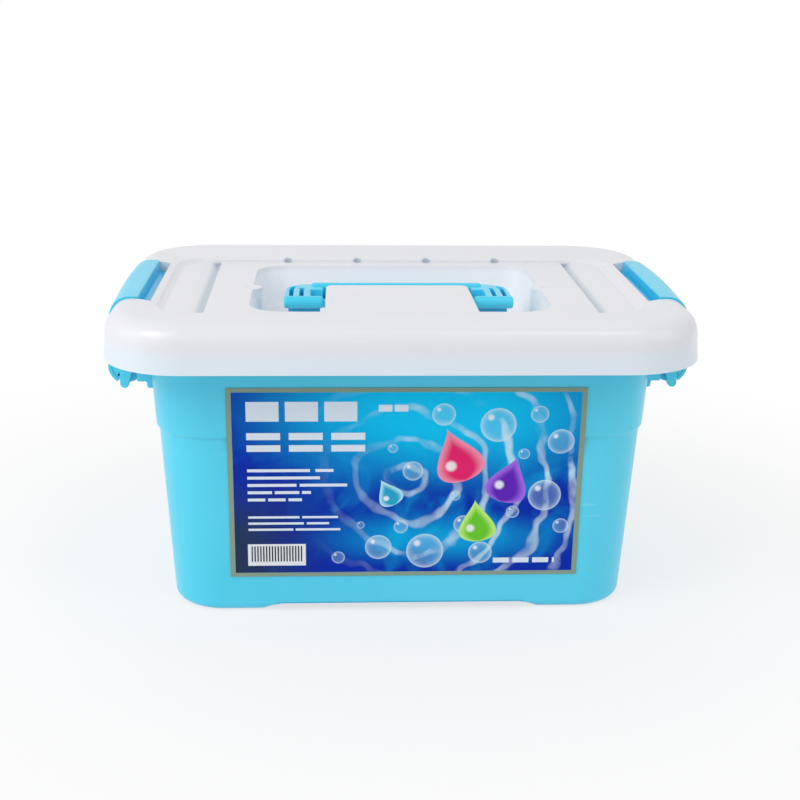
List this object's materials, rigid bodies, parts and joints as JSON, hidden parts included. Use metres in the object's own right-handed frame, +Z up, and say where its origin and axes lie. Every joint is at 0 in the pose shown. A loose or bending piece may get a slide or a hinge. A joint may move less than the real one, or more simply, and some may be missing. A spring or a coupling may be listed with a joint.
{
  "type": "laundry pod tub",
  "caption": "Lidded plastic storage tub with a fold-flat handle in the lid, swinging end latches and a printed front label.",
  "frame": {"origin": "centre of the base, on the plane that the feet stand on", "axes": "+X to the right across the front, +Y from the labelled front to the back, +Z up"},
  "size_m": [0.2612, 0.19, 0.1406],
  "materials": {
    "tub_plastic": "satin moulded polypropylene",
    "lid_plastic": "glossy moulded polypropylene",
    "fitting_plastic": "glossy moulded polypropylene",
    "label_film": "printed and laminated film"
  },
  "bodies": {
    "tub_body": {"tub": "tub_plastic", "label": "label_film"},
    "lid_body": {"lid": "lid_plastic"},
    "handle_body": {"handle": "fitting_plastic"},
    "latch_left_body": {"latch_left": "fitting_plastic"},
    "latch_right_body": {"latch_right": "fitting_plastic"}
  },
  "joints": [
    {"name": "lid_lift", "type": "slide", "parent": "tub_body", "child": "lid_body", "axis": [0, 0, 1], "range_m": [0, 0.025]},
    {"name": "handle_fold", "type": "hinge", "parent": "lid_body", "child": "handle_body", "pos_m": [0, -0.0185, 0.1323], "axis": [1, 0, 0], "range_deg": [0, 150]},
    {"name": "latch_left_swing", "type": "hinge", "parent": "tub_body", "child": "latch_left_body", "pos_m": [-0.123, 0, 0.1085], "axis": [0, -1, 0], "range_deg": [0, 150]},
    {"name": "latch_right_swing", "type": "hinge", "parent": "tub_body", "child": "latch_right_body", "pos_m": [0.123, 0, 0.1085], "axis": [0, 1, 0], "range_deg": [0, 150]}
  ],
  "couplings": [
    {"joint": "latch_left_swing", "follows": "lid_lift", "rad_per_m": 104.7},
    {"joint": "latch_right_swing", "follows": "lid_lift", "rad_per_m": 104.7}
  ]
}
